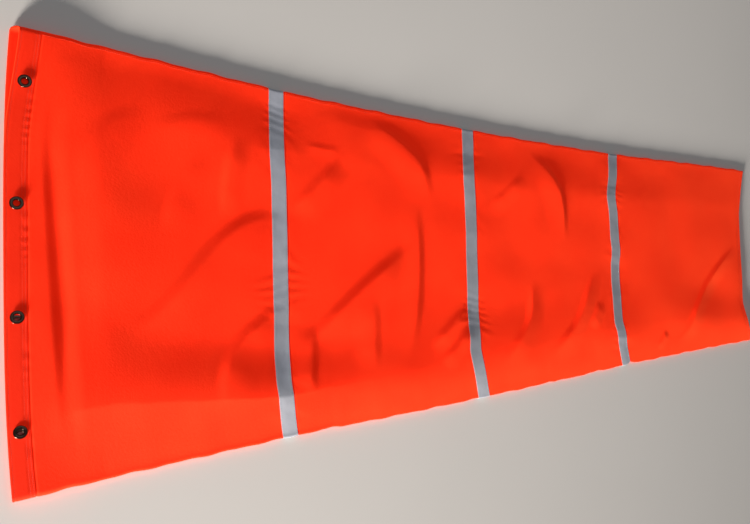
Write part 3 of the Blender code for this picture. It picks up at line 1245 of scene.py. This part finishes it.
@dataclass
class Stitching:
    """Rows of lockstitch in the hems and along the bands' edges."""

    sleeve: Sleeve
    eyelets: Eyelets
    pitch: float = 0.0036
    length: float = 0.0026
    radius: float = 0.00024
    sides: int = 6
    edge_margin: float = 0.0025
    side_seam_inset: float = 0.0075
    side_seam_gap: float = 0.003
    flange_margin: float = 0.0018
    # One stitch, from end to end: places along it, and its rise from the cloth in thread radii
    shares: tuple[float, ...] = (0.0, 0.22, 0.5, 0.78, 1.0)
    rises: tuple[float, ...] = (-1.2, 0.35, 0.7, 0.35, -1.2)

    def stitches(
        self, name: str, points: Values, outward: Values, material: Material, closed: bool = True
    ) -> Piece:
        """One row as small bent threads, each rising from the cloth and going back in.

        Args:
            name: the object's name.
            points: the row's line on the cloth.
            outward: the way out of the cloth at each point.
            material: the thread's finish.
            closed: whether the row comes back to its start.

        Returns:
            The row as one object.
        """
        if closed:
            points = np.concatenate([points, points[:1]])
            outward = np.concatenate([outward, outward[:1]])
        run = np.concatenate([[0], np.cumsum(np.linalg.norm(np.diff(points, axis=0), axis=1))])
        starts = np.arange(0, run[-1] - self.length, self.pitch)
        along = starts[:, None] + self.length * np.array(self.shares)
        centre = np.stack([np.interp(along, run, points[:, k]) for k in range(3)], -1)
        normal = np.stack([np.interp(along, run, outward[:, k]) for k in range(3)], -1)
        kept = self.clear_of_eyelets(centre[:, 2])
        centre, normal = centre[kept], normal[kept]
        rise = self.radius * np.array(self.rises)
        centre = centre + normal * rise[None, :, None]
        ahead = np.gradient(centre, axis=1)
        aside = np.cross(ahead, normal)
        aside /= np.linalg.norm(aside, axis=-1, keepdims=True)
        turns = np.linspace(0, 2 * np.pi, self.sides, endpoint=False)[None, None, :, None]
        ring = (
            centre[:, :, None, :]
            + self.radius * np.cos(turns) * aside[:, :, None, :]
            + self.radius * np.sin(turns) * normal[:, :, None, :]
        )
        number = np.arange(ring.size // 3).reshape(ring.shape[:3])
        here, there = number[:, :-1], number[:, 1:]
        faces = np.stack([here, np.roll(here, -1, axis=2), np.roll(there, -1, axis=2), there], -1)
        return mesh_object(name, ring.reshape(-1, 3), faces.reshape(-1, 4), material, sharp_degrees=80.0)

    def clear_of_eyelets(self, middles: Values) -> Values:
        """Finds the stitches that aren't under an eyelet's flange.

        Args:
            middles: the stitches' middles.

        Returns:
            An array that is true for each stitch to keep.
        """
        kept = np.ones(len(middles), bool)
        for place in self.eyelets.places:
            away = np.linalg.norm(middles - np.array(place.middle), axis=1)
            kept &= away > self.eyelets.flange + self.flange_margin
        return kept

    def row(self, name: str, distance: float, proud: float, material: Material) -> Piece:
        """Sews a row round the sleeve at one distance from the mouth.

        Args:
            name: the object's name.
            distance: the row's distance from the mouth.
            proud: how far above the cloth's outside it lies.
            material: the thread's finish.

        Returns:
            The row as one object.
        """
        points, outward = self.sleeve.lay.sample([distance], LoopSamples(upper=260, lower=120))
        return self.stitches(name, points[0] + proud * outward[0], outward[0], material)

    def lengthwise(self, name: str, start: float, end: float, material: Material) -> Piece:
        """Sews a row of the side seam: along the upper layer, a little inside the +Y edge.

        Args:
            name: the object's name.
            start: the distance from the mouth at which it starts.
            end: the distance at which it ends.
            material: the thread's finish.

        Returns:
            The row as one object.
        """
        loop = LoopSamples()
        points, outward = self.sleeve.lay.sample(np.linspace(start, end, 200), loop)
        upper = np.flatnonzero((loop.up > 0.99) & (loop.run > 0.5))[::-1]
        seams = points[:, :, 1].max(axis=1) - self.side_seam_inset
        line, normal = (
            np.array(
                [
                    [np.interp(seam, places[:, 1], values[:, k]) for k in range(3)]
                    for seam, places, values in zip(seams, points[:, upper], found[:, upper])
                ]
            )
            for found in (points, outward)
        )
        return self.stitches(name, line, normal, material, closed=False)

    def build(self, cloth_thread: Material, tape_thread: Material) -> list[Piece]:
        """Sews the hems, the bands and the side seam.

        Args:
            cloth_thread: the finish of the thread in the cloth.
            tape_thread: the finish of the thread in the bands.

        Returns:
            The rows.
        """
        cut, bodies = self.sleeve.cut, self.sleeve.bodies
        made = []
        for number, distance in enumerate(cut.hem_rows, start=1):
            made.append(self.row(f"hem_stitches_{number}", distance, 0.0, cloth_thread))
            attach(made[-1], bodies[0])
        made.append(self.row("tail_hem_stitches", cut.tail_row, 0.0, cloth_thread))
        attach(made[-1], bodies[-1])
        for number, body in enumerate(bodies[:3], start=1):
            end = cut.seams[number] - cut.band_setback
            front = end - cut.band_width + self.edge_margin
            for edge, distance in (("front", front), ("back", end - self.edge_margin)):
                name = f"band_{number}_{edge}_stitches"
                made.append(self.row(name, distance, cut.gap / 2 + cut.band, tape_thread))
                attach(made[-1], body)
        for number in range(len(bodies)):
            start = cut.seams[number] + (cut.hem_depth if number == 0 else 0.0) + self.side_seam_gap
            end = cut.seams[number + 1] - (cut.band_width if number < 3 else cut.tail_hem) - self.side_seam_gap
            made.append(self.lengthwise(f"side_seam_stitches_{number + 1}", start, end, cloth_thread))
            self.sleeve.fasten(made[-1], number)
        return made


# ---------------------------------------------------------------- the studio


@dataclass(frozen=True)
class Softbox:
    """A square softbox that faces a point of the sleeve, with a grid that holds its spread."""

    name: str
    place: tuple[float, float, float]
    target: tuple[float, float, float]
    size: float
    power: float
    colour: str
    spread_degrees: float = 180.0

    def build(self) -> None:
        """Places the lamp."""
        light = bpy.data.lights.new(self.name, "AREA")
        light.shape = "SQUARE"
        light.size = self.size
        light.energy = self.power
        light.spread = math.radians(self.spread_degrees)
        light.color = linear_colour(self.colour)[:3]
        lamp = bpy.data.objects.new(self.name, light)
        lamp.location = self.place
        lamp.rotation_euler = (Vector(self.target) - Vector(self.place)).to_track_quat("-Z", "Y").to_euler()
        bpy.context.scene.collection.objects.link(lamp)


@dataclass
class Studio:
    """A pale floor and soft lamps: a low key light on the mouth's side, and a broad light overhead."""

    floor_size: float = 14.0
    floor_drop: float = 0.0004
    sky: str = "#FFFFFF"
    sky_strength: float = 0.15
    lamps: tuple[Softbox, ...] = (
        Softbox("key_softbox", (-3.8, -5.2, 1.08), (-0.6, -0.2, 0.0), 1.25, 152.0, "#FFF6EE", 60.0),
        Softbox("overhead_softbox", (-0.4, 0.5, 2.4), (-0.2, 0.0, 0.0), 2.0, 8.0, "#F2F6FF"),
    )

    def build(self) -> Piece:
        """Lays the floor and sets up the lamps.

        Returns:
            The floor.
        """
        low = CAD_BOUNDS[0].z - self.floor_drop
        half = self.floor_size / 2
        corners = [(-half, -half, low), (half, -half, low), (half, half, low), (-half, half, low)]
        floor = mesh_object("floor", corners, [(0, 1, 2, 3)], PaleFloor().build())
        for lamp in self.lamps:
            lamp.build()
        world = bpy.data.worlds.new("studio_sky")
        world.use_nodes = True
        background = world.node_tree.nodes["Background"]
        fill_sockets(background, {"Color": linear_colour(self.sky), "Strength": self.sky_strength})
        bpy.context.scene.world = world
        bpy.context.scene.view_settings.view_transform = "Standard"
        return floor


@dataclass
class Camera:
    """A camera above the mouth that looks down along the sleeve."""

    place: tuple[float, float, float] = (-0.9168, -0.0384, 1.1655)
    tilt: float = 29.01
    turn: float = -1.10
    lift: float = 1.52
    lens: float = 33.15

    def build(self) -> None:
        """Places the camera. Tilt is away from straight down, towards the tail; turn is about its own axis."""
        data = bpy.data.cameras.new("camera")
        data.lens = self.lens
        data.sensor_width = 36.0
        camera = bpy.data.objects.new("camera", data)
        tilt = Matrix.Rotation(math.radians(-self.tilt), 4, "Y")
        turn = Matrix.Rotation(math.radians(self.turn), 4, "Z")
        lift = Matrix.Rotation(math.radians(self.lift), 4, "X")
        camera.matrix_world = Matrix.Translation(Vector(self.place)) @ tilt @ turn @ lift
        bpy.context.scene.collection.objects.link(camera)
        bpy.context.scene.camera = camera


# ---------------------------------------------------------------- this sleeve

TAIL_SECTION_LENGTH = 0.475

FOLDS = (
    # The dip behind the hem, and the swell after it
    Fold(((0.061, 0.280), (0.066, 0.120), (0.076, -0.060), (0.084, -0.300)), -0.0052, 0.026, 0.015),
    Fold(((0.131, 0.260), (0.141, 0.000), (0.147, -0.220)), 0.0028, 0.110, 0.045),
    # The first section
    Fold(((0.100, 0.090), (0.122, 0.170), (0.148, 0.212), (0.205, 0.240)), 0.0021, 0.026, 0.060),
    Fold(((0.180, 0.185), (0.268, 0.232), (0.350, 0.228)), 0.0010, 0.022, 0.045),
    Fold(((0.236, 0.045), (0.248, 0.100), (0.262, 0.130), (0.300, 0.185)), 0.0022, 0.019, 0.045),
    Fold(((0.335, 0.070), (0.340, 0.145), (0.362, 0.220)), 0.0034, 0.018, 0.034),
    Fold(((0.165, -0.115), (0.250, -0.056), (0.337, 0.043), (0.440, 0.064)), 0.0064, 0.021, 0.085, crisp=0.3),
    Fold(((0.330, -0.245), (0.334, -0.178), (0.371, -0.126), (0.440, -0.076)), 0.0056, 0.020, 0.060, crisp=0.3),
    # The second section
    Fold(((0.452, 0.085), (0.502, 0.136), (0.556, 0.190)), 0.0040, 0.018, 0.050, crisp=0.3),
    Fold(((0.480, 0.212), (0.559, 0.208)), 0.0010, 0.012, 0.020, crisp=0.5),
    Fold(((0.468, -0.158), (0.541, -0.094), (0.609, -0.037), (0.720, 0.042)), 0.0068, 0.019, 0.070, crisp=0.3),
    Fold(((0.487, -0.110), (0.484, -0.175), (0.476, -0.240)), 0.0040, 0.017, 0.050),
    Fold(((0.612, -0.060), (0.614, -0.135), (0.610, -0.205)), 0.0028, 0.020, 0.050),
    Fold(((0.600, 0.285), (0.684, 0.234), (0.730, 0.188), (0.744, 0.115)), 0.0046, 0.020, 0.060),
    Fold(((0.716, 0.130), (0.720, 0.010), (0.712, -0.095), (0.685, -0.190)), 0.0044, 0.017, 0.050, crisp=0.3),
    Fold(((0.745, -0.170), (0.799, -0.122), (0.842, -0.088)), 0.0044, 0.015, 0.035, crisp=0.3),
    Fold(((0.765, -0.205), (0.815, -0.160), (0.848, -0.128)), 0.0036, 0.013, 0.030),
    # The third section
    Fold(((0.900, 0.115), (0.946, 0.146), (0.995, 0.190)), 0.0024, 0.014, 0.034),
    Fold(((0.922, -0.218), (0.978, -0.153), (1.003, -0.110), (1.014, -0.035)), 0.0058, 0.014, 0.045, crisp=0.5),
    Fold(((1.010, 0.240), (1.088, 0.172), (1.107, 0.110), (1.112, 0.040)), 0.0050, 0.017, 0.055, crisp=0.3),
    Fold(((1.045, -0.218), (1.114, -0.162), (1.150, -0.120), (1.205, -0.020)), 0.0058, 0.014, 0.045, crisp=0.4),
    Fold(((1.181, -0.155), (1.218, -0.095)), 0.0026, 0.014, 0.030),
    # The last section
    Fold(((1.450, -0.215), (1.530, -0.164), (1.605, -0.075), (1.740, 0.025)), 0.0064, 0.012, 0.045, crisp=0.6),
    Fold(((1.385, -0.228), (1.435, -0.180)), 0.0030, 0.011, 0.025, crisp=0.3),
)

NUDGES = (
    Nudge(1.270, 0.15, -0.007, 0.08, 0.030),
    Nudge(1.270, 0.02, 0.003, 0.06, 0.020),
    Nudge(1.270, -0.17, 0.003, 0.06, 0.020),
    Nudge(0.855, 0.18, -0.003, 0.08, 0.040),
    Nudge(0.429, 0.20, -0.003, 0.08, 0.050),
)


def main() -> None:
    """Builds the sleeve's looks piece by piece, then the studio round it."""
    joints = {joint["child"]: joint["pos_m"][0] for joint in frame["record"]["behaviour"]["joints"]}
    mouth_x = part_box("mouth_hem")[0].x
    seams = [joints[body] - mouth_x for body in ("second", "third", "tail")]
    cut = SleeveCut(seams=(0.0, *seams, seams[-1] + TAIL_SECTION_LENGTH))
    sleeve = Sleeve(lay=Lay(cut, mouth_x, FOLDS, NUDGES), cut=cut, joints=joints)

    eyelets = Eyelets(sleeve)
    eyelets.find()
    # Two plies let less light through, so the doubled cloth of the hem looks deeper; its painted glow, a steady
    # emission the same in light and shade, is weaker too
    doubled = FluorescentCloth("#F22B0C", "#E02005", painted_glow=0.22, name="fluorescent_woven_polyester_doubled")
    hem, strap = Hem(sleeve).build(eyelets, doubled.build(), RibbedWebbing().build())
    sections = Sections(sleeve).build(FluorescentCloth().build())
    bands = Bands(sleeve).build(ReflectiveTape().build())
    rings = eyelets.build(DarkPlating().build())
    orange_thread = SewingThread("orange_polyester_thread", "#E23A14").build()
    grey_thread = SewingThread("grey_polyester_thread", "#9C9EA2").build()
    stitches = Stitching(sleeve, eyelets).build(orange_thread, grey_thread)
    floor = Studio().build()
    Camera().build()

    for piece in (hem, strap, *sections, *bands, *rings, *stitches):
        log.info("%s: %d faces", piece.name, len(piece.data.polygons))


if __name__ == "__main__":
    logging.basicConfig(level=logging.INFO, format="%(message)s")
    main()
